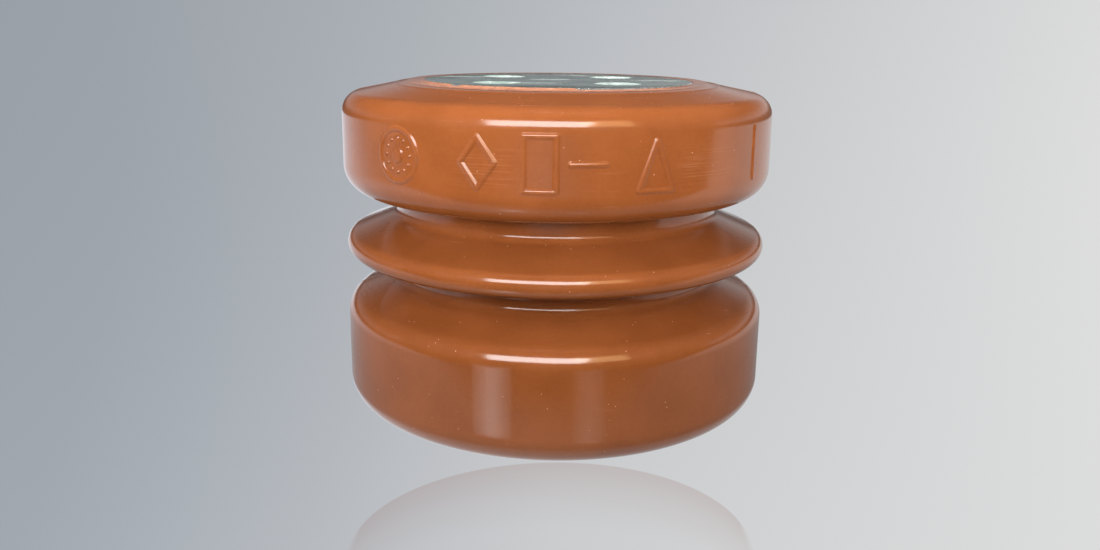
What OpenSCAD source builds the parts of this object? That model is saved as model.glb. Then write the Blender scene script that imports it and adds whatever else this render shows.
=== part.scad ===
// Squat ribbed post insulator: a cast resin body holding a steel end fitting in each face.
// Millimetres, +Z up. The origin is the centre of the bottom face, and the fittings are mirror images.

/* [Body] */
// Overall height between the two bolting faces
body_h = 75; // [74:1:90]
// Diameter over the top and bottom ribs
body_d = 100; // [98:0.5:103]
// Diameter of the neck between the ribs
neck_d = 75; // [74:0.5:78]
// Diameter over the thin middle shed
shed_d = 99; // [94:0.5:100]
// Height of the top rib's wall, from its underside corner to its shoulder corner
top_wall_h = 23.4; // [23:0.2:24]
// Height of the bottom rib's wall, from the bottom face to its shoulder corner
bottom_wall_h = 24.4; // [23:0.2:24.6]
// Diameter of the flat land around each steel plate
land_d = 70; // [68:0.5:72]

/* [Slopes and rounds] */
// Slope of the crown between the top land and the shoulder, in degrees
crown_slope = 11.7; // [8:0.1:13]
// Slope of the shed's and the bottom rib's upper faces, in degrees
weather_slope = 21; // [16:0.5:21.5]
// Slope of the undersides, in degrees
underside_slope = 10; // [4:0.5:10.5]
// Radius of the top rib's shoulder
shoulder_round = 4.8; // [3:0.1:5]
// Radius of the top rib's lower corner
skirt_round = 6.4; // [4:0.1:6.8]
// Radius of the bottom rib's shoulder
hip_round = 3; // [2:0.1:4]
// Radius of the bottom rib's lower corner
foot_round = 6; // [4:0.1:7]
// Radius of the shed's rim
rim_round = 2.5; // [1.8:0.1:2.6]
// Radius where the neck meets a rib or the shed
neck_round = 2.2; // [1:0.1:2.2]

/* [End fittings] */
// Diameter of the steel plate's face
plate_d = 64; // [62:0.5:66]
// Thickness of the steel plate
plate_t = 8; // [7:0.5:9]
// Diameter of the circle through the tapped holes
bolt_circle_d = 38; // [38:0.5:40]
// Tapping diameter of the bolt holes
bolt_bore_d = 8.5; // [6.8:0.1:8.5]
// Depth of the bolt holes below the face
bolt_depth = 18; // [16:0.5:19]
// Width across the flats of a closed socket
socket_flats = 16; // [15:0.5:16]
// Diameter of the anchor's stem
anchor_stem_d = 10; // [9:0.5:11]
// Diameter of the anchor's head
anchor_head_d = 18; // [16:0.5:18]

/* [Raised marks] */
// Height of the marks above the wall
mark_relief = 0.5; // [0.3:0.1:0.8]
// Width of a mark's stroke
mark_stroke = 1.1; // [0.8:0.1:1.4]
// Height of a mark
mark_h = 11.6; // [8:0.2:11.6]

/* [Hidden] */

$fn = 96;
arc_steps = 6;               // straight pieces in each rounded corner of an outline
body_r = body_d / 2;
neck_r = neck_d / 2;
plate_r = plate_d / 2;
land_r = land_d / 2;
shoulder_z = body_h - (body_r - land_r) * tan(crown_slope);
skirt_z = shoulder_z - top_wall_h;
skirt_root_z = skirt_z + (body_r - neck_r) * tan(underside_slope);
hip_root_z = bottom_wall_h + (body_r - neck_r) * tan(weather_slope);
// The shed's root is centred in the space between the two ribs, raised by the slope of its upper face.
rim_centre = [shed_d / 2 - rim_round, bottom_wall_h + (skirt_z - bottom_wall_h) * 0.57];
rim_top = rim_centre + rim_round * [sin(weather_slope), cos(weather_slope)];
rim_low = rim_centre + rim_round * [sin(underside_slope), -cos(underside_slope)];
shed_top_root_z = rim_top.y + (rim_top.x - neck_r) * tan(weather_slope);
shed_low_root_z = rim_low.y - (rim_low.x - neck_r) * tan(underside_slope);

plate_bevel = 0.6;           // bevel around the plate's face
plate_back_bevel = 1.5;      // bevel on the plate's buried edge
groove_w = 2.4;              // groove around the plate's rim, which the resin locks into
groove_depth = 1.8;
drill_point_h = bolt_bore_d / 2 * tan(31);
socket_end = bolt_depth + drill_point_h + 1;  // depth of each socket's closed end below the face
socket_bevel = 2;            // bevel on that end
socket_groove_h = 3;         // turned groove around each socket
socket_groove_depth = 1.2;
anchor_thread_h = 5;         // length of the anchor's stem inside the plate
anchor_depth = 22;           // the anchor head's deepest point below the face
anchor_head_h = 5;
anchor_bevel = 2.4;          // bevel on the head's far side
socket_angles = [45, 135, 225, 315];

// The marks end just below the place where the shoulder's round begins.
mark_z = shoulder_z - shoulder_round / tan(45 + crown_slope / 2) - 0.2 - mark_h / 2;
mark_sink = 0.6;             // how far a mark's solid reaches into the wall
dial_angle = -39;            // places around the wall, measured from -Y towards +X
diamond_angle = -17.5;
square_angle = -3.5;
dash_angle = 7;
triangle_angle = 22.5;
bar_angle = 55.5;

// ---- outlines ---------------------------------------------------------------------------

function unit(v) = v / norm(v);

// An arc of radius r that rounds corner b of the path a, b, c.
function corner_arc(a, b, c, r) =
    let (
        u = unit(a - b),
        v = unit(c - b),
        half = acos(u * v) / 2,
        middle = b + unit(u + v) * r / sin(half),
        first = b + u * r / tan(half) - middle,
        last = b + v * r / tan(half) - middle,
        start = atan2(first.y, first.x),
        turn = (atan2(last.y, last.x) - start + 540) % 360 - 180
    )
    [for (i = [0:arc_steps]) middle + r * [cos(start + turn * i / arc_steps), sin(start + turn * i / arc_steps)]];

// A closed outline through corners [x, y, round], with each corner rounded by its own radius.
function rounded(corners) =
    let (n = len(corners))
    [for (i = [0:n - 1])
        let (
            a = corners[(i + n - 1) % n],
            b = corners[i],
            c = corners[(i + 1) % n]
        )
        each b[2] == 0 ? [[b.x, b.y]]
            : corner_arc([a.x, a.y], [b.x, b.y], [c.x, c.y], b[2])];

// Points on the shed's rim, from its underside round to its upper face.
function rim_arc() =
    [for (i = [0:arc_steps])
        let (a = -90 + underside_slope + (180 - underside_slope - weather_slope) * i / arc_steps)
        [rim_centre.x + rim_round * cos(a), rim_centre.y + rim_round * sin(a), 0]];

// Half of the body's section, from the axis at the bottom face round to the axis at the top face.
function body_corners() = [
    [0, 0, 0],
    [body_r, 0, foot_round],
    [body_r, bottom_wall_h, hip_round],
    [neck_r, hip_root_z, neck_round],
    [neck_r, shed_low_root_z, neck_round],
    each rim_arc(),
    [neck_r, shed_top_root_z, neck_round],
    [neck_r, skirt_root_z, neck_round],
    [body_r, skirt_z, skirt_round],
    [body_r, shoulder_z, shoulder_round],
    [land_r, body_h, 0],
    [0, body_h, 0]
];

// ---- raised marks -----------------------------------------------------------------------

// A triangle's or a diamond's outline of even stroke: the shape, less a copy shrunk about its inner circle.
module outline(points, centre, inner_r) {
    difference() {
        polygon(points);
        translate(centre) scale(1 - mark_stroke / inner_r) translate(-centre) polygon(points);
    }
}

// A mould-date dial without its figures: a ring around a hub.
module dial_mark() {
    difference() {
        circle(d = mark_h);
        circle(d = mark_h - 2 * mark_stroke);
    }
    circle(d = mark_h * 0.28);
    translate([-mark_stroke / 2, 0]) square([mark_stroke, mark_h * 0.33]);
}

module diamond_mark() {
    half_h = mark_h / 2;
    half_w = mark_h * 0.36;
    outline([[0, -half_h], [half_w, 0], [0, half_h], [-half_w, 0]], [0, 0], half_h * half_w / norm([half_h, half_w]));
}

module square_mark() {
    size = [mark_h * 0.63, mark_h];
    difference() {
        square(size, center = true);
        square(size - 2 * [mark_stroke, mark_stroke], center = true);
    }
}

module dash_mark() {
    square([mark_h * 0.67, mark_stroke], center = true);
}

module triangle_mark() {
    half_w = mark_h * 0.38;
    inner_r = half_w * mark_h / (half_w + norm([half_w, mark_h]));
    outline([[-half_w, -mark_h / 2], [half_w, -mark_h / 2], [0, mark_h / 2]], [0, inner_r - mark_h / 2], inner_r);
}

module bar_mark() {
    square([mark_stroke, mark_h], center = true);
}

// Raises a flat mark from the wall, at an angle around the body.
module on_wall(angle) {
    intersection() {
        rotate([0, 0, angle]) translate([0, 0, mark_z]) rotate([90, 0, 0])
            linear_extrude(body_r + 2) children();
        difference() {
            cylinder(r = body_r + mark_relief, h = body_h);
            translate([0, 0, -1]) cylinder(r = body_r - mark_sink, h = body_h + 2);
        }
    }
}

module raised_marks() {
    on_wall(dial_angle) dial_mark();
    on_wall(diamond_angle) diamond_mark();
    on_wall(square_angle) square_mark();
    on_wall(dash_angle) dash_mark();
    on_wall(triangle_angle) triangle_mark();
    on_wall(bar_angle) bar_mark();
}

// ---- end fittings, drawn for the bottom face -----------------------------------------------

// Places a fitting's part at the bottom face or, turned over about X, at the top face.
module at_face(top) {
    if (top) translate([0, 0, body_h]) rotate([180, 0, 0]) children();
    else children();
}

module at_hole(number) {
    rotate([0, 0, socket_angles[number - 1]]) translate([bolt_circle_d / 2, 0, 0]) children();
}

// The bolt hole in a socket: the tapping bore and its drill point.
module bolt_bore() {
    cylinder(d = bolt_bore_d, h = bolt_depth);
    translate([0, 0, bolt_depth]) cylinder(d1 = bolt_bore_d, d2 = 0, h = drill_point_h);
}

module plate_outline() {
    groove_z = (plate_t - groove_w) / 2;
    polygon([
        [0, 0],
        [plate_r - plate_bevel, 0],
        [plate_r, plate_bevel],
        [plate_r, groove_z],
        [plate_r - groove_depth, groove_z],
        [plate_r - groove_depth, groove_z + groove_w],
        [plate_r, groove_z + groove_w],
        [plate_r, plate_t - plate_back_bevel],
        [plate_r - plate_back_bevel, plate_t],
        [0, plate_t]
    ]);
}

module end_plate() {
    color("silver") difference() {
        rotate_extrude() plate_outline();
        for (number = [1:4]) at_hole(number) {
            translate([0, 0, -1]) cylinder(d = bolt_bore_d, h = plate_t + 2);
        }
        translate([0, 0, plate_t - anchor_thread_h]) cylinder(d = anchor_stem_d, h = anchor_thread_h + 1);
    }
}

// A closed socket without its bore: a hexagonal bar with a turned groove and a bevelled end. Two of its flats
// face the plate's centre and its rim.
module socket_blank() {
    corner_r = socket_flats / 2 / cos(30);
    outer_r = corner_r + 1;
    groove_r = socket_flats / 2 - socket_groove_depth;
    groove_z = (plate_t + socket_end - socket_groove_h) / 2;
    intersection() {
        translate([0, 0, plate_t]) rotate(30) cylinder(r = corner_r, h = socket_end - plate_t, $fn = 6);
        rotate_extrude() polygon([
            [0, plate_t],
            [outer_r, plate_t],
            [outer_r, groove_z],
            [groove_r, groove_z],
            [groove_r, groove_z + socket_groove_h],
            [outer_r, groove_z + socket_groove_h],
            [outer_r, socket_end - socket_bevel - 1],
            [outer_r - socket_bevel - 1, socket_end],
            [0, socket_end]
        ]);
    }
}

module closed_socket(number) {
    color("darkgray") at_hole(number) difference() {
        socket_blank();
        bolt_bore();
    }
}

module anchor_outline() {
    stem_r = anchor_stem_d / 2;
    head_r = anchor_head_d / 2;
    polygon([
        [0, plate_t - anchor_thread_h],
        [stem_r, plate_t - anchor_thread_h],
        [stem_r, anchor_depth - anchor_head_h],
        [head_r - 1, anchor_depth - anchor_head_h],
        [head_r, anchor_depth - anchor_head_h + 1],
        [head_r, anchor_depth - anchor_bevel],
        [head_r - anchor_bevel, anchor_depth],
        [0, anchor_depth]
    ]);
}

module anchor() {
    color("darkgray") rotate_extrude() anchor_outline();
}

// The space that one end fitting fills in the casting.
module fitting_pocket() {
    rotate_extrude() plate_outline();
    cylinder(r = plate_r, h = plate_bevel);
    for (number = [1:4]) at_hole(number) socket_blank();
    rotate_extrude() anchor_outline();
}

// ---- body ---------------------------------------------------------------------------------

module insulator_body() {
    color("sienna") difference() {
        union() {
            rotate_extrude() polygon(rounded(body_corners()));
            raised_marks();
        }
        at_face(false) fitting_pocket();
        at_face(true) fitting_pocket();
    }
}

insulator_body();
at_face(true) end_plate();  // top_end_plate
at_face(true) anchor();  // top_anchor
at_face(true) closed_socket(1);  // top_socket_1
at_face(true) closed_socket(2);  // top_socket_2
at_face(true) closed_socket(3);  // top_socket_3
at_face(true) closed_socket(4);  // top_socket_4
at_face(false) end_plate();  // bottom_end_plate
at_face(false) anchor();  // bottom_anchor
at_face(false) closed_socket(1);  // bottom_socket_1
at_face(false) closed_socket(2);  // bottom_socket_2
at_face(false) closed_socket(3);  // bottom_socket_3
at_face(false) closed_socket(4);  // bottom_socket_4
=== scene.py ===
"""Looks of a squat cast-resin post insulator: a glossy brown resin body with raised marks, and zinc-plated
steel bolting plates with tapped holes. Lengths are in millimetres until they reach a mesh, and an azimuth is
measured from -Y towards +X."""

import math

import bmesh
import bpy
import numpy as np
from mathutils import Euler, Matrix, Vector


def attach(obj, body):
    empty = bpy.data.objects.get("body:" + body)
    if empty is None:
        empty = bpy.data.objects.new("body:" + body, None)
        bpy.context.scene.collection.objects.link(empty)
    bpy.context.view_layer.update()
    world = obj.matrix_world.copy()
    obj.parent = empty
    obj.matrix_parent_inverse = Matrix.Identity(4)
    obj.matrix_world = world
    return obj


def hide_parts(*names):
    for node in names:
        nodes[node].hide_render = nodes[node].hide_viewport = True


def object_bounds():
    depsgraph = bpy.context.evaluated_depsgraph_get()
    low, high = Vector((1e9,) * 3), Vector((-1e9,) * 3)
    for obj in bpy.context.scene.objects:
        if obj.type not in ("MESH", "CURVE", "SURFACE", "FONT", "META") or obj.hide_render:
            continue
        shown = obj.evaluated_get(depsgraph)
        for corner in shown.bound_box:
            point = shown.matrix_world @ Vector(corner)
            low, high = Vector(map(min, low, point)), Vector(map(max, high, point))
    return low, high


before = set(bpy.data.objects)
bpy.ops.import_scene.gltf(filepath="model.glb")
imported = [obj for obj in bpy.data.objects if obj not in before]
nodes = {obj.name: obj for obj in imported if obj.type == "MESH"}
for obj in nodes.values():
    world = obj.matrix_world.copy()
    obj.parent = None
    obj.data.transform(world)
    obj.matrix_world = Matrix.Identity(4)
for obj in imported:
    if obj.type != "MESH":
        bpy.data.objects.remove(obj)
cad_box = [list(corner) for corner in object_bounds()]
MM = 0.001

# ---- sizes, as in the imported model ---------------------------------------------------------

BODY_H = cad_box[1][2] / MM
BODY_R = 50.0
NECK_R = 37.5
LAND_R = 35.0
PLATE_R = 32.0
SKIN_R = 33.0  # where the turned skin meets the pocket's faces, on the flat land
CROWN_ANGLE = math.radians(11.7)
WEATHER_ANGLE = math.radians(21)  # the upper sides of the shed and of the lower rib
UNDER_ANGLE = math.radians(10)  # the undersides of the shed and of the top rib
CROWN_SLOPE = math.tan(CROWN_ANGLE)
WEATHER_SLOPE = math.tan(WEATHER_ANGLE)
UNDER_SLOPE = math.tan(UNDER_ANGLE)
SHOULDER_Z = BODY_H - (BODY_R - LAND_R) * CROWN_SLOPE  # the top rib's upper corner
SKIRT_Z = SHOULDER_Z - 23.4  # the top rib's lower corner
HIP_Z = 24.4  # the lower rib's upper corner
SHOULDER_CORNER = 4.8  # the next six are the radii of the corners
SKIRT_CORNER = 6.4
HIP_CORNER = 4.8
FOOT_CORNER = 6.0
LAND_CORNER = 0.9
NECK_FILLET = 2.2
RIM_R = 2.7  # the shed's round rim
RIM_CENTRE = (47.0, HIP_Z + (SKIRT_Z - HIP_Z) * 0.562)
MARK_H = 11.6
MARK_HALF = 0.55  # half of a stroke's width
MARK_RELIEF = 0.36
MARK_ROOT = 0.5  # how far a mark's shell reaches into the wall
WALL_TOP = SHOULDER_Z - SHOULDER_CORNER / math.tan((math.pi / 2 + CROWN_ANGLE) / 2)
MARK_Z = WALL_TOP - 0.2 - MARK_H / 2
BOLT_CIRCLE_R = 19.0
BORE_R = 4.25
PITCH = 1.5  # of the M10 thread
THREAD_DEPTH = 0.75
SINK_R = 5.45  # a countersink's radius at the face
PLATE_T = 8.0
BEVEL = 0.6
GRIP = (1.8, 2.8, 5.2)  # depth of the groove in a plate's rim, and where it starts and ends
SEAT_R = 5.0  # of the anchor's seat in a plate's back, which is as deep
SKIN_INSET = 0.1  # the skin lies this far inside its true size, so that its waves and ridges stay within it
FILM = 0.03  # thickness of the resin film on a plate's face, which lies that far below the body's ends


# ---- the body's skin ------------------------------------------------------------------------


def corner_arc(a, b, c, radius, step=8.0):
    """Points on the arc that rounds corner b of the path a, b, c."""
    a, b, c = (np.array(p, float) for p in (a, b, c))
    u = (a - b) / np.linalg.norm(a - b)
    v = (c - b) / np.linalg.norm(c - b)
    half = math.acos(float(u @ v)) / 2
    middle = b + (u + v) / np.linalg.norm(u + v) * radius / math.sin(half)
    first = b + u * radius / math.tan(half) - middle
    last = b + v * radius / math.tan(half) - middle
    start = math.atan2(first[1], first[0])
    turn = (math.atan2(last[1], last[0]) - start + 3 * math.pi) % (2 * math.pi) - math.pi
    count = max(4, math.ceil(abs(math.degrees(turn)) / step))
    angles = [start + turn * i / count for i in range(count + 1)]
    return [tuple(middle + radius * np.array([math.cos(t), math.sin(t)])) for t in angles]


def skin_profile():
    """The body's outline in (r, z), from the bottom land round to the top land."""
    hip_root = HIP_Z + (BODY_R - NECK_R) * WEATHER_SLOPE
    skirt_root = SKIRT_Z + (BODY_R - NECK_R) * UNDER_SLOPE
    under, over = UNDER_ANGLE, WEATHER_ANGLE
    low = (RIM_CENTRE[0] + RIM_R * math.sin(under), RIM_CENTRE[1] - RIM_R * math.cos(under))
    high = (RIM_CENTRE[0] + RIM_R * math.sin(over), RIM_CENTRE[1] + RIM_R * math.cos(over))
    low_root = low[1] - (low[0] - NECK_R) * UNDER_SLOPE
    high_root = high[1] + (high[0] - NECK_R) * WEATHER_SLOPE
    rim = []
    steps = 18
    for i in range(steps + 1):
        a = -math.pi / 2 + under + (math.pi - under - over) * i / steps
        rim.append((RIM_CENTRE[0] + RIM_R * math.cos(a), RIM_CENTRE[1] + RIM_R * math.sin(a), 0))
    corners = [
        (SKIN_R, 0, 0),
        (BODY_R, 0, FOOT_CORNER),
        (BODY_R, HIP_Z, HIP_CORNER),
        (NECK_R, hip_root, NECK_FILLET),
        (NECK_R, low_root, NECK_FILLET),
        *rim,
        (NECK_R, high_root, NECK_FILLET),
        (NECK_R, skirt_root, NECK_FILLET),
        (BODY_R, SKIRT_Z, SKIRT_CORNER),
        (BODY_R, SHOULDER_Z, SHOULDER_CORNER),
    ]
    # A hairline witness ring on the crown, left by the mould's insert: radius and height above the slope
    witness = [
        (38.3, 0),
        (38.05, 0.03),
        (37.85, 0.07),
        (37.65, 0.07),
        (37.45, 0.02),
        (37.2, -0.01),
        (36.9, 0),
    ]
    for r, lift in witness:
        corners.append((r, BODY_H - (r - LAND_R) * CROWN_SLOPE + lift, 0))
    corners += [(LAND_R, BODY_H, LAND_CORNER), (34.0, BODY_H, 0), (SKIN_R, BODY_H, 0)]
    path = []
    for i, (r, z, radius) in enumerate(corners):
        if radius:
            path += corner_arc(corners[i - 1][:2], (r, z), corners[i + 1][:2], radius)
        else:
            path.append((r, z))
    # Straight stretches get points at most 2.4 mm apart, and one close to each end
    points = [path[0]]
    step, margin = 2.4, 0.3
    for a, b in zip(path, path[1:]):
        length = math.dist(a, b)
        if length > 1.6:
            inner = length - 2 * margin
            count = math.ceil(inner / step)
            shares = [margin + inner * i / count for i in range(count + 1)]
            points += [tuple(a[k] + (b[k] - a[k]) * s / length for k in (0, 1)) for s in shares]
        if length > 1e-6:
            points.append(b)
    return points


def wave(a, z):
    """How far the moulded skin strays from true, at azimuth a in radians."""
    broad = 0.022 * np.sin(3 * a + z / 9)
    middle = 0.014 * np.sin(7 * a - z / 6 + 1)
    fine = 0.008 * np.sin(13 * a + z / 3.1 + 2)
    return broad + middle + fine


def parting(a, z):
    """Height of the thin ridge where the two mould halves met, at azimuths of +-90 degrees."""
    away = np.abs((np.abs(a) % (2 * math.pi)) - math.pi / 2) * BODY_R
    ridge = 0.06 * np.exp(-((away / 0.28) ** 2))
    lump = 0.34 * np.exp(-((away / 0.75) ** 2)) * np.exp(-(((z - SHOULDER_Z + 1.2) / 1.3) ** 2))
    return ridge + lump


def land_dip(a):
    """How far the land lies below the plate's face: it bares the bevel in front and is level at the back."""
    share = np.clip(0.35 + 0.65 * np.cos(a), 0, 1)
    return 0.42 * share * share * (3 - 2 * share)


def azimuths():
    """The skin's columns, closer together at the mould's parting line."""
    near = [0.0, 0.16, 0.32, 0.5, 0.75, 1.05]
    plain = np.arange(240) * 1.5 - 180
    plain = [a for a in plain if abs(abs(a) - 90) > 1.3]
    dense = [side * 90 + sign * d for side in (-1, 1) for d in near for sign in (-1, 1)]
    return np.radians(np.array(sorted(set(plain) | set(dense))))


def ring_faces(rows, columns):
    """Quads of a surface whose rows are closed rings of vertices."""
    faces = []
    for i in range(rows - 1):
        low, high = i * columns, (i + 1) * columns
        for j in range(columns):
            k = (j + 1) % columns
            faces.append((low + j, low + k, high + k, high + j))
    return faces


def polar(r, a, z):
    """Points in metres at radius r, azimuth a and height z."""
    return np.stack([r * np.sin(a) * MM, -r * np.cos(a) * MM, z * MM * np.ones_like(r * a)], axis=-1)


def add_mesh(bm, points, faces):
    """Adds a shell to the bmesh and returns its vertices."""
    verts = [bm.verts.new(p) for p in points]
    for face in faces:
        bm.faces.new([verts[i] for i in face])
    return verts


def skin(bm):
    """The turned skin. Returns the first and the last ring of vertices."""
    profile = np.array(skin_profile())
    a = azimuths()
    points = []
    for r, z in profile:
        ends = (r < LAND_R + 0.5) or (z < 0.5)
        share = min(1.0, max(0.0, (r - 36) / 6))  # the parting line fades out on the crown
        stray = np.zeros_like(a) if ends else wave(a, z) + parting(a, z) * share - SKIN_INSET
        if z > SHOULDER_Z + 0.5 and not ends:
            dip = land_dip(a) * np.interp(r, [LAND_R + 0.2, LAND_R + 2.8], [1, 0])
            points.append(polar(np.full_like(a, r), a, z + stray - dip))
        elif z > BODY_H - 1:
            points.append(polar(np.full_like(a, r), a, z - land_dip(a)))
        else:
            points.append(polar(r + stray, a, np.full_like(a, z)))
    verts = add_mesh(bm, np.concatenate(points), ring_faces(len(profile), len(a)))
    return verts[: len(a)], verts[-len(a) :]


def closed_shells(bm):
    """Faces of the shells that have no open edge."""
    left = set(bm.faces)
    closed = set()
    while left:
        shell = [left.pop()]
        for face in shell:
            near = {g for e in face.edges for g in e.link_faces} & left
            left -= near
            shell += near
        if all(len(e.link_faces) == 2 for f in shell for e in f.edges):
            closed.update(shell)
    return closed


def from_axis(v):
    """A vertex's distance from the axis, in millimetres."""
    return math.hypot(v.co.x, v.co.y) / MM


def pocket(bm):
    """The spaces for the steel fittings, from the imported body. Returns the faces of the sealed ones."""
    source = bmesh.new()
    source.from_mesh(nodes["insulator_body"].data)
    bmesh.ops.remove_doubles(source, verts=source.verts, dist=2e-6)
    outer = [f for f in source.faces if any(from_axis(v) > PLATE_R + 0.02 for v in f.verts)]
    bmesh.ops.delete(source, geom=outer, context="FACES")
    for v in source.verts:  # the pocket's upper edge follows the land
        if v.co.z > (BODY_H - 0.01) * MM:
            v.co.z -= float(land_dip(math.atan2(v.co.x, -v.co.y))) * MM
    index = {v: i for i, v in enumerate(source.verts)}
    verts = [bm.verts.new(v.co) for v in source.verts]
    closed = closed_shells(source)
    sealed = set()
    for f in source.faces:
        copy = bm.faces.new([verts[index[v]] for v in f.verts])
        if f in closed:
            sealed.add(copy)
    source.free()
    return sealed


def open_edges(bm, z):
    """Edges of a single face within a millimetre of height z."""
    single = [e for e in bm.edges if len(e.link_faces) == 1]
    return [e for e in single if all(abs(v.co.z - z * MM) < MM for v in e.verts)]


# ---- raised marks ---------------------------------------------------------------------------


def to_segment(p, a, b):
    """Distance of points p from the line a-b."""
    a, b = np.array(a, float), np.array(b, float)
    d = b - a
    t = np.clip(((p - a) @ d) / (d @ d), 0, 1)
    return np.linalg.norm(p - a - t[..., None] * d, axis=-1)


def to_path(p, corners, closed):
    """Distance of points p from a path through corners."""
    ends = corners[1:] + corners[:1] if closed else corners[1:]
    return np.min([to_segment(p, a, b) for a, b in zip(corners, ends)], axis=0)


def dial(p):
    """A mould-date dial without figures: a ring, eleven dots, a hub and a pointer."""
    far = np.linalg.norm(p, axis=-1)
    ring = np.abs(far - (MARK_H / 2 - MARK_HALF)) / MARK_HALF
    hub = np.maximum(0, far - 1.05) / MARK_HALF
    pointer = to_segment(p, (0, 0), (0, MARK_H * 0.33 - MARK_HALF)) / MARK_HALF
    dots = []
    for i in range(1, 12):
        a = math.radians(30 * i)
        dots.append(np.linalg.norm(p - np.array([math.sin(a), math.cos(a)]) * 3.35, axis=-1) / 0.36)
    return np.min([ring, hub, pointer, *dots], axis=0)


def diamond(p):
    w, h = MARK_H * 0.36, MARK_H / 2
    k = 1 - MARK_HALF / (h * w / math.hypot(h, w))
    return to_path(p, [(0, -h * k), (w * k, 0), (0, h * k), (-w * k, 0)], True) / MARK_HALF


def rectangle(p):
    w, h = MARK_H * 0.315 - MARK_HALF, MARK_H / 2 - MARK_HALF
    return to_path(p, [(-w, -h), (w, -h), (w, h), (-w, h)], True) / MARK_HALF


def dash(p):
    w = MARK_H * 0.335 - MARK_HALF
    return to_segment(p, (-w, 0), (w, 0)) / MARK_HALF


def triangle(p):
    w, h = MARK_H * 0.38, MARK_H
    inner = w * h / (w + math.hypot(w, h))
    k, middle = 1 - MARK_HALF / inner, inner - h / 2
    corners = [(-w, -h / 2), (w, -h / 2), (0, h / 2)]
    return to_path(p, [(x * k, middle + (y - middle) * k) for x, y in corners], True) / MARK_HALF


def bar(p):
    h = MARK_H / 2 - MARK_HALF
    return to_segment(p, (0, -h), (0, h)) / MARK_HALF


# Each mark's shape and its azimuth in degrees
MARKS = [(dial, -39.0), (diamond, -17.5), (rectangle, -3.5), (dash, 7.0), (triangle, 22.5), (bar, 55.5)]
# A stroke's section: distance from its middle as a share of its half width, and share of the relief
SECTION_D = [0.0, 0.2, 0.4, 0.6, 0.78, 0.92, 1.04, 1.18, 1.38]
SECTION_H = [1.0, 0.985, 0.93, 0.81, 0.62, 0.41, 0.21, 0.08, -0.08]
CELL = 0.12  # spacing of a mark's grid


def raise_mark(bm, shape, azimuth):
    """Adds one mark: a closed shell with a round-topped stroke, let into the wall."""
    half = MARK_H / 2 + 0.5
    count = math.ceil(2 * half / CELL)
    line = np.linspace(-half, half, count + 1)
    u, v = np.meshgrid(line, line)
    away = shape(np.stack([u, v], axis=-1))
    height = np.interp(away, SECTION_D, SECTION_H) * MARK_RELIEF
    corners = [away[:-1, :-1], away[1:, :-1], away[:-1, 1:], away[1:, 1:]]
    keep = np.minimum.reduce(corners) < SECTION_D[-1] - 0.06
    used = {}
    flat = bmesh.new()

    def vertex(i, j):
        if (i, j) not in used:
            used[i, j] = flat.verts.new((u[i, j], v[i, j], height[i, j]))
        return used[i, j]

    for i, j in zip(*np.nonzero(keep)):
        flat.faces.new([vertex(i, j), vertex(i, j + 1), vertex(i + 1, j + 1), vertex(i + 1, j)])
    rim = [e for e in flat.edges if len(e.link_faces) == 1]
    low = bmesh.ops.extrude_edge_only(flat, edges=rim)["geom"]
    for item in low:
        if isinstance(item, bmesh.types.BMVert):
            item.co.z = -MARK_ROOT
    edges = [item for item in low if isinstance(item, bmesh.types.BMEdge)]
    floor = [e for e in edges if all(abs(x.co.z + MARK_ROOT) < 1e-6 for x in e.verts)]
    bmesh.ops.triangle_fill(flat, use_beauty=False, use_dissolve=False, edges=floor, normal=(0, 0, -1))
    index = {x: i for i, x in enumerate(flat.verts)}
    a = np.array([x.co.x for x in flat.verts]) / BODY_R + math.radians(azimuth)
    z = np.array([x.co.y for x in flat.verts]) + MARK_Z
    r = np.array([x.co.z for x in flat.verts]) + BODY_R - SKIN_INSET + wave(a, z)
    add_mesh(bm, polar(r, a, z), [[index[x] for x in f.verts] for f in flat.faces])
    flat.free()


# ---- resin flash at the plates' edges -------------------------------------------------------


def flash(bm, top):
    """A feather of resin over the bevel of a plate. It is wide at the top plate's front left."""
    count = 540
    a = np.linspace(-math.pi, math.pi, count, endpoint=False)
    deg = np.degrees(a)
    rough = 0.5 + 0.5 * np.sin(7 * a + 1) * np.sin(17 * a + 2) * np.cos(41 * a)
    fine = 0.5 + 0.25 * (np.sin(67 * a) + np.sin(113 * a + 1))
    width = 0.1 + 0.12 * rough + 0.06 * fine
    if top:
        wide = 1 / (1 + np.exp(-(deg + 84) / 2.0)) / (1 + np.exp((deg - 4) / 3.0))
        gap = np.exp(-(((deg + 43) / 3.2) ** 4))
        width = width + wide * (1 - gap) * (0.75 + 0.4 * rough + 0.15 * fine)
    inner = PLATE_R - width
    outer = PLATE_R + 0.3 + 0.15 * rough
    land = -land_dip(a) if top else np.zeros(count)
    shares = np.array([0.0, 0.12, 0.3, 0.5, 0.7, 0.86, 1.0])

    def steel(r):
        """Height of the plate's surface at radius r, or of the land outside it."""
        return np.where(r <= PLATE_R, -FILM - np.maximum(0, r - (PLATE_R - BEVEL)), land)

    upper, lower = [], []
    for share in shares:
        r = outer + (inner - outer) * share
        thick = 0.012 + (0.07 + 0.05 * rough + 0.02 * fine) * math.sin(math.pi * share) ** 0.6
        over = np.maximum(steel(r), np.where(r > PLATE_R - 0.5, land, -np.inf))
        under = np.minimum(steel(r), np.where(r > PLATE_R, land, np.inf))
        upper.append((r, np.minimum(0, over + thick)))
        lower.append((r, under - 0.03))
    section = upper + lower[::-1]
    rows = [polar(r, a, BODY_H + lift if top else -lift) for r, lift in section]
    faces = ring_faces(len(rows), count)
    last = (len(rows) - 1) * count
    faces += [(last + j, last + (j + 1) % count, (j + 1) % count, j) for j in range(count)]
    add_mesh(bm, np.concatenate(rows), faces)


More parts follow.
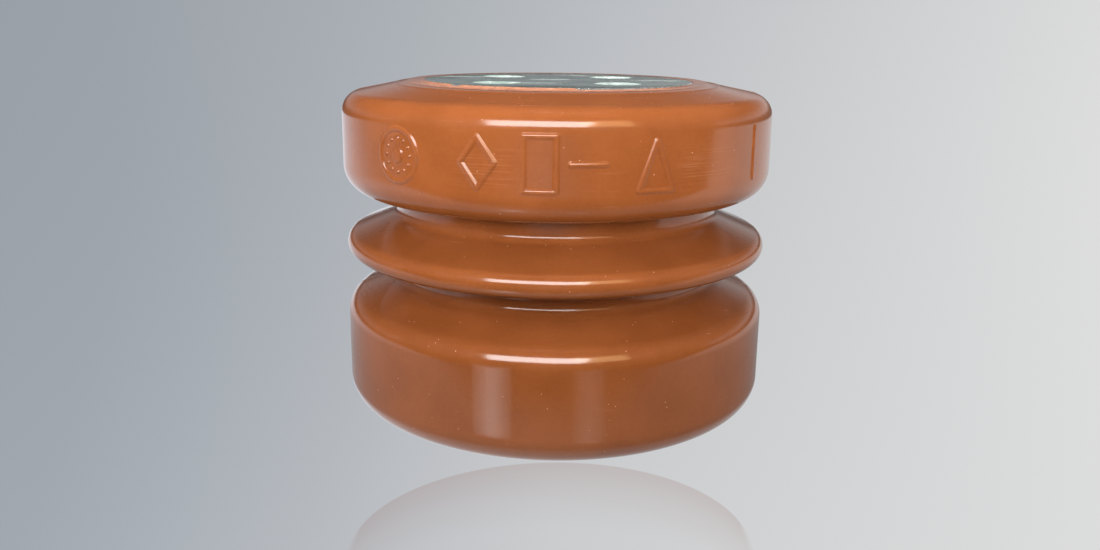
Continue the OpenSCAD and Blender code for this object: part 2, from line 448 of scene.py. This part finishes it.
# ---- steel plates ---------------------------------------------------------------------------


def thread_radius(turn, depth):
    """Radius of an M10 x 1.5 thread's wall, at a turn of 0 to 1 and a depth below the face."""
    phase = (depth / PITCH - turn) % 1
    tooth = np.clip((np.abs(phase - 0.5) - 1 / 16) / (5 / 16), 0, 1)
    fade = np.clip((PLATE_T - 0.25 - depth) / 0.9, 0, 1)
    wall = BORE_R + THREAD_DEPTH * (1 - tooth) * fade
    return np.maximum(wall, SINK_R - depth)


def disc_face(bm, rim, holes):
    """Fills a flat face between a rim loop and hole loops."""
    loops = []
    for verts in [rim, *holes]:
        for i, v in enumerate(verts):
            w = verts[(i + 1) % len(verts)]
            loops.append(bm.edges.get((v, w)) or bm.edges.new((v, w)))
    bmesh.ops.triangle_fill(bm, use_beauty=True, use_dissolve=False, edges=loops)


def bolting_plate(name, top):
    """A steel plate with a grip groove in its rim and four tapped, countersunk holes."""
    bm = bmesh.new()
    count = 192
    a = np.arange(count) * 2 * math.pi / count
    groove, groove_start, groove_end = GRIP
    chamfer = 1.5
    profile = [
        (PLATE_R - BEVEL - 0.02, FILM),
        (PLATE_R - BEVEL + 0.02, FILM + 0.015),
        (PLATE_R - 0.03, BEVEL - 0.03),
        (PLATE_R, BEVEL + 0.02),
        (PLATE_R, groove_start),
        (PLATE_R - groove, groove_start),
        (PLATE_R - groove, groove_end),
        (PLATE_R, groove_end),
        (PLATE_R, PLATE_T - chamfer),
        (PLATE_R - chamfer, PLATE_T),
    ]
    rows = [polar(np.full(count, r), a, depth) for r, depth in profile]
    verts = add_mesh(bm, np.concatenate(rows), ring_faces(len(rows), count))
    face_rim, back_rim = verts[:count], verts[-count:]
    face_holes, back_holes = [], []
    turns = 48
    depths = np.concatenate([[FILM, 0.12], np.arange(0.3, PLATE_T - 0.1, PITCH / 8), [PLATE_T]])
    phi = np.arange(turns) * 2 * math.pi / turns
    for angle in (45, 135, 225, 315):
        cx, cy = (BOLT_CIRCLE_R * f(math.radians(angle)) for f in (math.cos, math.sin))
        points = []
        for depth in depths:
            r = thread_radius(phi / (2 * math.pi), depth)
            if depth == PLATE_T:
                r = np.full(turns, BORE_R)
            x, y = cx + r * np.cos(phi), cy + r * np.sin(phi)
            points.append(np.stack([x, y, np.full(turns, depth)], axis=-1) * MM)
        hole = add_mesh(bm, np.concatenate(points), ring_faces(len(depths), turns))
        face_holes.append(hole[:turns])
        back_holes.append(hole[-turns:])
    disc_face(bm, face_rim, face_holes)
    # The anchor's screwed end sits in a blind seat in the plate's back
    sides = 72
    seat = np.arange(sides) * 2 * math.pi / sides
    points = [polar(np.full(sides, SEAT_R), seat, depth) for depth in (PLATE_T, PLATE_T - SEAT_R)]
    ring = add_mesh(bm, np.concatenate(points), ring_faces(2, sides))
    bm.faces.new(ring[sides:])
    disc_face(bm, back_rim, [*back_holes, ring[:sides]])
    bmesh.ops.recalc_face_normals(bm, faces=bm.faces)
    for v in bm.verts:
        if top:
            v.co.y, v.co.z = -v.co.y, BODY_H * MM - v.co.z
    return finish_object(bm, name, 30)


def finish_object(bm, name, sharp):
    """Turns a bmesh into a smooth-shaded object with creases at angles over sharp degrees."""
    mesh = bpy.data.meshes.new(name)
    bm.to_mesh(mesh)
    bm.free()
    for polygon in mesh.polygons:
        polygon.use_smooth = True
    mesh.set_sharp_from_angle(angle=math.radians(sharp))
    obj = bpy.data.objects.new(name, mesh)
    bpy.context.scene.collection.objects.link(obj)
    return obj


def resin_body():
    """The skin joined to the pockets at both ends, with the marks and the flash."""
    bm = bmesh.new()
    bottom, top = skin(bm)
    sealed = pocket(bm)
    for ring, z in ((bottom, 0), (top, BODY_H)):
        own = set(ring)
        edges = open_edges(bm, z)
        mine = [e for e in edges if all(v in own for v in e.verts)]
        others = [e for e in edges if e not in mine]
        inner = [e for e in others if all(from_axis(v) > PLATE_R - 0.05 for v in e.verts)]
        bmesh.ops.bridge_loops(bm, edges=mine + inner)
    for shape, azimuth in MARKS:
        raise_mark(bm, shape, azimuth)
    flash(bm, True)
    flash(bm, False)
    bmesh.ops.recalc_face_normals(bm, faces=[f for f in bm.faces if f not in sealed])
    return finish_object(bm, "resin_body", 42)


# ---- materials ------------------------------------------------------------------------------


class Shader:
    """A small helper for building a node material. Positions in it are in millimetres."""

    def __init__(self, name):
        self.material = bpy.data.materials.new(name)
        self.material.use_nodes = True
        self.tree = self.material.node_tree
        self.bsdf = self.tree.nodes["Principled BSDF"]
        place = self.add("ShaderNodeTexCoord").outputs["Object"]
        self.place = self.vector("SCALE", place, 1000.0)
        parts = self.add("ShaderNodeSeparateXYZ", Vector=self.place)
        self.x, self.y, self.z = parts.outputs
        squares = [self.math("MULTIPLY", part, part) for part in (self.x, self.y)]
        self.r = self.math("SQRT", self.math("ADD", *squares))
        self.a = self.math("ARCTAN2", self.x, self.math("MULTIPLY", self.y, -1.0))

    def add(self, kind, **inputs):
        node = self.tree.nodes.new(kind)
        for key, value in inputs.items():
            self.put(node.inputs[key.replace("_", " ")], value)
        return node

    def put(self, socket, value):
        if isinstance(value, bpy.types.NodeSocket):
            self.tree.links.new(value, socket)
        else:
            socket.default_value = value

    def math(self, operation, a, b=None, c=None):
        node = self.tree.nodes.new("ShaderNodeMath")
        node.operation = operation
        for socket, value in zip(node.inputs, (a, b, c)):
            if value is not None:
                self.put(socket, value)
        return node.outputs[0]

    def vector(self, operation, a, b):
        node = self.tree.nodes.new("ShaderNodeVectorMath")
        node.operation = operation
        self.put(node.inputs[0], a)
        self.put(node.inputs["Scale"] if operation == "SCALE" else node.inputs[1], b)
        return node.outputs[0]

    def noise(self, size, detail=2.0, rough=0.5, place=None):
        """Noise from 0 to 1 with features about size millimetres across."""
        place = place or self.place
        node = self.add("ShaderNodeTexNoise", Vector=place, Scale=1 / size, Detail=detail, Roughness=rough)
        return node.outputs["Fac"]

    def streaks(self, first, stretch, second, squeeze, detail=2.0, rough=0.5, shift=0.0):
        """Noise from 0 to 1 that is stretched along one coordinate and squeezed along the other."""
        long = self.math("MULTIPLY", first, stretch)
        short = self.math("MULTIPLY", second, squeeze)
        return self.noise(1.0, detail, rough, self.combine(long, short, shift))

    def cells(self, size):
        """A node of cells about size millimetres across."""
        return self.add("ShaderNodeTexVoronoi", Vector=self.place, Scale=1 / size)

    def span(self, value, low, high, out_low=0.0, out_high=1.0, smooth=True):
        """Maps value from low-high to out_low-out_high, held at both ends."""
        node = self.tree.nodes.new("ShaderNodeMapRange")
        node.interpolation_type = "SMOOTHSTEP" if smooth else "LINEAR"
        self.put(node.inputs["Value"], value)
        for key, end in (("From Min", low), ("From Max", high), ("To Min", out_low), ("To Max", out_high)):
            self.put(node.inputs[key], end)
        return node.outputs["Result"]

    def mix(self, share, a, b):
        """Mixes two colours. The node's colour sockets come after those of its other data types."""
        node = self.tree.nodes.new("ShaderNodeMix")
        node.data_type = "RGBA"
        self.put(node.inputs["Factor"], share)
        self.put(node.inputs[6], a)
        self.put(node.inputs[7], b)
        return node.outputs[2]

    def combine(self, x, y, z):
        return self.add("ShaderNodeCombineXYZ", X=x, Y=y, Z=z).outputs[0]

    def bump(self, height, distance, normal=None):
        """Bump of a height from 0 to 1 that stands for distance millimetres."""
        node = self.add("ShaderNodeBump", Height=height, Distance=distance * MM, Strength=1.0)
        if normal is not None:
            self.put(node.inputs["Normal"], normal)
        return node.outputs["Normal"]


def rgb(red, green, blue):
    """A linear colour from its 0-255 display values."""
    out = []
    for value in (red, green, blue):
        v = value / 255
        out.append(v / 12.92 if v <= 0.04045 else ((v + 0.055) / 1.055) ** 2.4)
    return (*out, 1.0)


def resin_material():
    s = Shader("cast_resin")
    mottle = s.noise(14.0, 3.0, 0.55)
    grain = s.noise(0.7, 3.0, 0.6)
    colour = s.mix(s.span(mottle, 0.35, 0.65), (0.205, 0.0560, 0.0140, 1), (0.232, 0.0650, 0.0170, 1))
    colour = s.mix(s.span(grain, 0.3, 0.75, 0.0, 0.12), colour, (0.30, 0.105, 0.036, 1))
    # Dust and tiny pale flecks of filler
    dots = s.cells(1.9)
    fleck = s.span(dots.outputs["Distance"], 0.035, 0.075, 1.0, 0.0)
    rare = s.span(s.noise(3.1, 1.0), 0.52, 0.56)
    fleck = s.math("MULTIPLY", fleck, rare)
    colour = s.mix(s.math("MULTIPLY", fleck, 0.7), colour, (0.62, 0.36, 0.25, 1))
    # Fine rubbed lines that run around the body
    lines = s.streaks(s.a, 3.2, s.z, 3.4, 3.0, 0.65)
    rubbed = s.math("MULTIPLY", s.span(lines, 0.62, 0.72), s.span(s.noise(17.0, 1.0), 0.5, 0.62))
    # Two patches of wiping marks on the top rib's wall, in front: azimuth and half width in radians
    upright = s.span(s.math("ABSOLUTE", s.math("ADD", s.z, -61.0)), 6.0, 1.0)
    for azimuth, half in ((-0.27, 0.17), (0.63, 0.2)):
        across = s.span(s.math("ABSOLUTE", s.math("ADD", s.a, -azimuth)), half, half * 0.3)
        patch = s.math("MULTIPLY", across, upright)
        rubbed = s.math("MAXIMUM", rubbed, s.math("MULTIPLY", patch, s.span(lines, 0.5, 0.66)))
    colour = s.mix(s.math("MULTIPLY", rubbed, 0.2), colour, (0.42, 0.2, 0.11, 1))
    # The land and the flash around the top plate are trimmed, which leaves them pale and dull; their paleness
    # is partly that and partly a painted highlight, full in front and faint at the back
    edge = s.math("ADD", 35.0, s.math("MULTIPLY", s.math("SUBTRACT", s.noise(2.2, 2.0), 0.5), 1.6))
    within = s.span(s.math("SUBTRACT", s.r, edge), 0.5, -0.4)
    # Painted highlight: this front factor keeps the pale trim full in front and faint at the back
    front = s.span(s.math("ABSOLUTE", s.math("ADD", s.a, 0.15)), 1.25, 0.75, 0.12, 1.0)
    trim_and_highlight = s.math("MULTIPLY", within, s.span(s.z, BODY_H - 1.5, BODY_H - 1.0))
    trim_and_highlight = s.math("MULTIPLY", trim_and_highlight, front)
    hacked = s.span(s.streaks(s.a, 9.0, s.r, 2.5, 3.0, 0.7), 0.3, 0.7, 0.25, 0.7)
    colour = s.mix(s.math("MULTIPLY", trim_and_highlight, hacked), colour, (0.60, 0.29, 0.19, 1))
    s.put(s.bsdf.inputs["Base Color"], colour)
    rough = s.math("ADD", s.span(mottle, 0.3, 0.7, 0.105, 0.145), s.math("MULTIPLY", rubbed, 0.14))
    rough = s.math("ADD", rough, s.math("MULTIPLY", trim_and_highlight, 0.15))
    rough = s.math("ADD", rough, s.math("MULTIPLY", fleck, 0.3))
    s.put(s.bsdf.inputs["Roughness"], rough)
    s.bsdf.inputs["IOR"].default_value = 1.55
    normal = s.bump(s.noise(5.0, 2.0, 0.5), 0.024)
    normal = s.bump(grain, 0.004, normal=normal)
    normal = s.bump(s.math("ADD", fleck, s.math("MULTIPLY", rubbed, 0.3)), 0.012, normal=normal)
    s.put(s.bsdf.inputs["Normal"], normal)
    return s.material


# Middle, half length and half width of the plate's bright patches, painted reflections of the lights
PAINTED_GLINTS = [
    (-23.0, 9.5, 7.0, 3.2),
    (4.5, 19.5, 5.5, 3.0),
    (-1.5, 0.5, 5.5, 3.0),
    (-3.5, -14.0, 6.5, 2.4),
    (24.0, 0.5, 7.5, 3.2),
]


def zinc_material():
    s = Shader("zinc_plated_steel")
    spangle = s.cells(2.6)
    tone = s.add("ShaderNodeSeparateColor", Color=spangle.outputs["Color"]).outputs[0]
    cloud = s.noise(7.0, 3.0, 0.6)
    colour = s.mix(s.span(cloud, 0.3, 0.7), rgb(118, 136, 128), rgb(176, 190, 182))
    colour = s.mix(s.math("MULTIPLY", tone, 0.35), colour, rgb(220, 230, 224))
    # Painted reflections: bright patches with frayed edges
    fray = s.math("MULTIPLY", s.math("SUBTRACT", s.noise(2.4, 4.0, 0.75), 0.5), 2.2)
    painted_glint = None
    for x, y, long, wide in PAINTED_GLINTS:
        dx = s.math("DIVIDE", s.math("SUBTRACT", s.x, x), long)
        dy = s.math("DIVIDE", s.math("SUBTRACT", s.y, y), wide)
        near = s.math("ADD", s.math("MULTIPLY", dx, dx), s.math("MULTIPLY", dy, dy))
        near = s.span(s.math("ADD", near, fray), 0.0, 1.3, 1.0, 0.0)
        painted_glint = near if painted_glint is None else s.math("MAXIMUM", painted_glint, near)
    colour = s.mix(s.math("MULTIPLY", painted_glint, 0.65), colour, rgb(210, 226, 219))
    # Scratches in two directions
    along = s.math("ADD", s.x, s.math("MULTIPLY", s.y, 0.35))
    across = s.math("SUBTRACT", s.y, s.math("MULTIPLY", s.x, 0.35))
    hair = s.streaks(along, 0.06, across, 2.2, 4.0, 0.7)
    ring = s.streaks(s.r, 2.4, s.a, 1.2, 3.0, 0.6, shift=3.0)
    marks = s.math("MAXIMUM", s.span(hair, 0.62, 0.7), s.span(ring, 0.66, 0.74))
    colour = s.mix(s.math("MULTIPLY", marks, 0.3), colour, rgb(224, 232, 228))
    # The bevel is ground bright, with short cross scratches
    edge = s.span(s.r, PLATE_R - 0.75, PLATE_R - 0.55)
    nick = s.streaks(s.a, 70.0, s.r, 0.4)
    ground = s.mix(s.span(nick, 0.35, 0.65), rgb(205, 205, 200), rgb(250, 248, 244))
    colour = s.mix(edge, colour, ground)
    s.put(s.bsdf.inputs["Base Color"], colour)
    # In the countersinks the cut steel is pale and dull
    cut = s.span(s.z, BODY_H - 0.04, BODY_H - 0.1)
    cut = s.math("MULTIPLY", cut, s.span(s.r, PLATE_R - 0.9, PLATE_R - 1.1))
    # The painted reflections are also made less metallic, so that their pale colour shows
    dull = s.math("MAXIMUM", s.math("MULTIPLY", painted_glint, 0.6), cut)
    s.put(s.bsdf.inputs["Metallic"], s.span(dull, 0.0, 1.0, 0.85, 0.1, smooth=False))
    rough = s.math("ADD", s.span(cloud, 0.3, 0.7, 0.12, 0.24), s.math("MULTIPLY", tone, 0.08))
    rough = s.math("SUBTRACT", rough, s.math("MULTIPLY", painted_glint, 0.05))
    s.put(s.bsdf.inputs["Roughness"], rough)
    normal = s.bump(s.noise(6.0, 2.0, 0.5), 0.04)
    normal = s.bump(s.math("SUBTRACT", 1.0, painted_glint), 0.11, normal=normal)
    normal = s.bump(s.math("ADD", marks, s.math("MULTIPLY", tone, 0.3)), 0.006, normal=normal)
    s.put(s.bsdf.inputs["Normal"], normal)
    return s.material


def turned_material():
    s = Shader("turned_steel")
    place = s.combine(s.math("MULTIPLY", s.x, 0.08), s.math("MULTIPLY", s.y, 0.08), s.z)
    lines = s.noise(0.25, 2.0, 0.6, place)
    cloud = s.noise(3.0, 3.0)
    colour = s.mix(s.span(cloud, 0.3, 0.7), (0.33, 0.33, 0.33, 1), (0.5, 0.49, 0.47, 1))
    s.put(s.bsdf.inputs["Base Color"], colour)
    s.bsdf.inputs["Metallic"].default_value = 1.0
    s.put(s.bsdf.inputs["Roughness"], s.span(lines, 0.3, 0.7, 0.28, 0.45))
    s.put(s.bsdf.inputs["Normal"], s.bump(lines, 0.01))
    return s.material


# ---- the object -----------------------------------------------------------------------------

resin, zinc, turned_steel = resin_material(), zinc_material(), turned_material()

body = resin_body()
body.data.materials.append(resin)
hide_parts("insulator_body")
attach(body, "root")
for end in ("top", "bottom"):
    plate = bolting_plate(end + "_bolting_plate", end == "top")
    plate.data.materials.append(zinc)
    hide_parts(end + "_end_plate")
    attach(plate, "root")
for name, node in nodes.items():
    if "anchor" in name or "socket" in name:
        node.data.materials.clear()
        node.data.materials.append(turned_steel)

# ---- floor, backdrop, lights and camera -----------------------------------------------------

CAMERA = Vector((0.0, -0.2167, 0.0865))
PAN, TILT, ROLL = 0.0059, math.radians(90 - 12.99), 0.0107  # the tilt is measured from straight down
TONE_END = 0.6  # how far to each side the backdrop's tones reach, as x over the distance from the camera
# The backdrop's tones at the top of the view and at its foot, painted light that is brighter to the right and
# lower down: the place to the side, and the display colour
TOP_TONES = [
    (-0.60, (153, 160, 168)),
    (-0.475, (155, 162, 170)),
    (-0.354, (162, 167, 173)),
    (-0.265, (166, 171, 177)),
    (-0.166, (171, 176, 182)),
    (-0.077, (177, 182, 186)),
    (0.0, (183, 186, 191)),
    (0.077, (187, 190, 195)),
    (0.166, (193, 197, 200)),
    (0.276, (202, 203, 207)),
    (0.387, (209, 210, 212)),
    (0.497, (215, 215, 217)),
    (0.60, (220, 220, 220)),
]
FOOT_TONES = [
    (-0.60, (158, 165, 173)),
    (-0.454, (161, 168, 176)),
    (-0.361, (167, 174, 182)),
    (-0.269, (176, 181, 187)),
    (-0.176, (185, 188, 193)),
    (-0.059, (198, 199, 202)),
    (0.0, (203, 204, 206)),
    (0.059, (208, 208, 209)),
    (0.126, (213, 213, 214)),
    (0.21, (218, 219, 220)),
    (0.294, (222, 223, 223)),
    (0.378, (224, 225, 225)),
    (0.60, (225, 225, 225)),
]


def backdrop_tone(s):
    """The backdrop's painted light at a point, brighter to the right and lower down, and the point's place to
    the side, as seen from the camera's place.
    """
    depth = s.math("ADD", s.y, -CAMERA.y / MM)
    depth2 = s.math("MULTIPLY", depth, depth)
    side = s.math("DIVIDE", s.x, s.math("SQRT", s.math("ADD", depth2, 150.0**2)))
    above = s.math("ADD", s.z, -CAMERA.z / MM)
    rise = s.math("DIVIDE", above, s.math("SQRT", s.math("ADD", depth2, 60.0**2)))

    def ramp(tones):
        node = s.tree.nodes.new("ShaderNodeValToRGB")
        node.color_ramp.elements.remove(node.color_ramp.elements[0])
        for i, (at, colour) in enumerate(tones):
            element = node.color_ramp.elements[0] if i == 0 else node.color_ramp.elements.new(0.5)
            element.position = (at + TONE_END) / (2 * TONE_END)
            element.color = rgb(*colour)
        s.put(node.inputs["Fac"], s.span(side, -TONE_END, TONE_END, smooth=False))
        return node.outputs["Color"]

    down = s.span(rise, 0.03, -0.566, smooth=False)
    return s.mix(down, ramp(TOP_TONES), ramp(FOOT_TONES)), side


def glowing(s, colour, strength):
    """Turns the shader into a plain glow that lights nothing by itself."""
    emission = s.add("ShaderNodeEmission", Color=colour, Strength=strength).outputs[0]
    s.tree.nodes.remove(s.bsdf)
    out = next(n for n in s.tree.nodes if n.type == "OUTPUT_MATERIAL")
    s.put(out.inputs["Surface"], emission)
    s.material.cycles.emission_sampling = "NONE"
    return s.material


def backdrop_material():
    """What is seen behind and below the object, with a painted reflection of the object, a faint brown dome,
    on the floor.
    """
    s = Shader("pale_backdrop")
    tone, _ = backdrop_tone(s)
    # A painted reflection of the object on the floor: a faint brown dome in front of its foot, fading away
    # from it
    across = s.math("DIVIDE", s.x, 34.6)
    arc = s.math("SQRT", s.math("MAXIMUM", s.math("SUBTRACT", 1.0, s.math("MULTIPLY", across, across)), 0.0))
    brim = s.math("ADD", s.math("MULTIPLY_ADD", arc, 29.1, -75.0), s.math("MULTIPLY", s.x, 0.05))
    inside = s.math("SUBTRACT", brim, s.y)
    fade = s.math("POWER", s.span(inside, 25.0, 0.0, smooth=False), 1.3)
    painted_reflection = s.math("MULTIPLY", fade, s.span(inside, -0.2, 0.4, 0.0, 0.24))
    painted_reflection = s.math("MULTIPLY", painted_reflection, s.span(s.math("ABSOLUTE", across), 1.01, 0.97))
    painted_reflection = s.math("MULTIPLY", painted_reflection, s.span(s.y, -14.0, -24.0))
    return glowing(s, s.mix(painted_reflection, tone, (0.29, 0.10, 0.045, 1)), 1.0)


def surroundings_material():
    """What the object mirrors: pale low down behind it and at its sides, and dark above and in front."""
    s = Shader("surroundings")
    tone, side = backdrop_tone(s)
    height = s.span(s.z, 100.0, 640.0, 1.0, 0.12)
    front = s.span(s.y, -94.0, -64.0, 0.02, 1.0)
    # The floor is dimmer beside the foot, brighter behind on the left, and dim far away
    near = s.math("MAXIMUM", s.span(s.r, 60.0, 170.0, 0.46, 1.0), s.span(s.r, 56.0, 50.0))
    far = s.math("MULTIPLY", s.span(s.r, 850.0, 950.0), s.span(s.z, 260.0, 60.0))
    near = s.math("MULTIPLY", near, s.span(far, 0.0, 1.0, 1.0, 0.18))
    glow = s.math("MULTIPLY", s.span(side, -1.5, -0.6), s.span(side, 0.15, -0.2))
    glow = s.math("MULTIPLY_ADD", glow, 1.5, s.span(side, 0.2, 0.5, 0.0, 0.15))
    glow = s.math("MULTIPLY", glow, s.span(s.r, 80.0, 230.0, 0.65, 1.0))
    glow = s.math("MULTIPLY_ADD", glow, s.span(s.r, 950.0, 850.0), 1.0)
    strength = s.math("MULTIPLY", s.math("MULTIPLY", height, front), s.math("MULTIPLY", near, glow))
    return glowing(s, tone, strength)


def tent(name, lift, material):
    """A flat floor that curves up into a round wall."""
    floor_r, bend_r, wall_h, count = 800.0, 500.0, 900.0, 96
    profile = [(r, 0.0) for r in (1.0, 60.0, 150.0, 400.0, floor_r)]
    for i in range(1, 13):
        t = math.radians(i * 7.5)
        profile.append((floor_r + bend_r * math.sin(t), bend_r - bend_r * math.cos(t)))
    profile.append((floor_r + bend_r, wall_h))
    a = np.arange(count) * 2 * math.pi / count
    bm = bmesh.new()
    rows = [polar(np.full(count, r), a, z) for r, z in profile]
    verts = add_mesh(bm, np.concatenate(rows), ring_faces(len(rows), count))
    bm.faces.new(verts[:count])
    bmesh.ops.recalc_face_normals(bm, faces=bm.faces)
    piece = finish_object(bm, name, 60)
    piece.location.z = lift * MM
    piece.data.materials.append(material)
    return piece


def stage():
    """The backdrop is for the camera alone. The object mirrors other surroundings, hidden from the camera."""
    seen = tent("backdrop", -0.1, backdrop_material())
    seen.visible_glossy = seen.visible_diffuse = False
    unseen = tent("surroundings", -0.3, surroundings_material())
    unseen.visible_camera = False


def soft_light(
    name, azimuth, elevation, distance, size, radiance, target, spread=180, sheen=True, fills=True
):
    """A rectangular soft light of a given radiance, which faces the target. Sizes are in metres.

    Without sheen it leaves no reflection, and without fills it leaves nothing else.
    """
    light = bpy.data.lights.new(name, "AREA")
    light.shape = "RECTANGLE"
    light.size, light.size_y = size
    light.energy = radiance * size[0] * size[1] * math.pi
    light.spread = math.radians(spread)
    obj = bpy.data.objects.new(name, light)
    bpy.context.scene.collection.objects.link(obj)
    obj.visible_camera = False
    obj.visible_glossy = sheen
    obj.visible_diffuse = fills
    a, e = math.radians(azimuth), math.radians(elevation)
    away = Vector((math.sin(a) * math.cos(e), -math.cos(a) * math.cos(e), math.sin(e)))
    obj.location = Vector(target) + away * distance
    obj.rotation_euler = away.to_track_quat("Z", "Y").to_euler()
    return obj


def card(name, a, b, height, radiance):
    """A small upright glowing card from a to b on the floor, seen only as a reflection in the object."""
    a, b = Vector((*a, 0)), Vector((*b, 0))
    light = bpy.data.lights.new(name, "AREA")
    light.shape = "RECTANGLE"
    light.size, light.size_y = (b - a).length * MM, height * MM
    light.energy = radiance * light.size * light.size_y * math.pi
    obj = bpy.data.objects.new(name, light)
    bpy.context.scene.collection.objects.link(obj)
    obj.visible_camera = obj.visible_diffuse = False
    obj.location = ((a + b) / 2 + Vector((0, 0, height / 2))) * MM
    along = (b - a).normalized()
    outward = Vector((along.y, -along.x, 0))  # the card shines along its own -Z, towards the object
    if outward.dot((a + b) / 2) < 0:
        outward.negate()
    obj.rotation_euler = Matrix((along, outward.cross(along), outward)).transposed().to_euler()


stage()
# Windows that only gleam: a white one, and a dimmer warm one to its right
soft_light("gleam", -9.8, 33, 1.0, (0.92, 0.44), 12.0, (0, -0.045, 0.05), fills=False)
warm = soft_light("warm_gleam", 28, 33, 1.0, (0.45, 0.44), 4.2, (0, -0.045, 0.05), fills=False)
warm.data.color = (1.0, 0.66, 0.3)
# Lamps that only light: close in front and above, overhead, low in front for the top rib, and at both sides
soft_light("front_lamp", -6, 22, 0.17, (0.28, 0.06), 9.3, (0, -0.05, 0.06), sheen=False)
soft_light("top_lamp", 0, 84, 0.30, (0.16, 0.16), 16.8, (0, 0, 0.075), sheen=False)
soft_light("low_lamp", -4, -15, 0.14, (0.26, 0.03), 1.12, (0, -0.05, 0.066), spread=40, sheen=False)
soft_light("left_lamp", -68, 18, 0.25, (0.2, 0.14), 5.8, (0, -0.02, 0.06), sheen=False)
soft_light("right_lamp", 64, 18, 0.25, (0.2, 0.14), 4.4, (0, -0.02, 0.06), sheen=False)
# The gleam of two narrow windows in the lower rib's wall, each a stack of ever narrower cards for soft edges
for i in range(5):
    k = i * 0.115
    tall = 20.0 - i
    card("left_streak", (-25.8 + 12.1 * k, -57.5 - 4.6 * k), (-13.7 - 12.1 * k, -62.1 + 4.6 * k), tall, 0.58)
    card("right_streak", (5.7 + 9.3 * k, -59.6 + 1.8 * k), (15.0 - 9.3 * k, -57.8 - 1.8 * k), tall, 0.21)

world = bpy.data.worlds.new("surroundings")
world.use_nodes = True
world.node_tree.nodes["Background"].inputs["Color"].default_value = (0.09, 0.09, 0.095, 1)
bpy.context.scene.world = world
bpy.context.scene.view_settings.view_transform = "Standard"

camera_data = bpy.data.cameras.new("camera")
camera_data.sensor_width = 36
camera_data.lens = 29.626
camera_data.shift_y = -0.0333
camera_data.clip_start = 0.005
camera = bpy.data.objects.new("camera", camera_data)
bpy.context.scene.collection.objects.link(camera)
camera.location = CAMERA
turns = [Euler(angles).to_matrix() for angles in ((0, 0, PAN), (TILT, 0, 0), (0, 0, ROLL))]
camera.rotation_euler = (turns[0] @ turns[1] @ turns[2]).to_euler()
bpy.context.scene.camera = camera
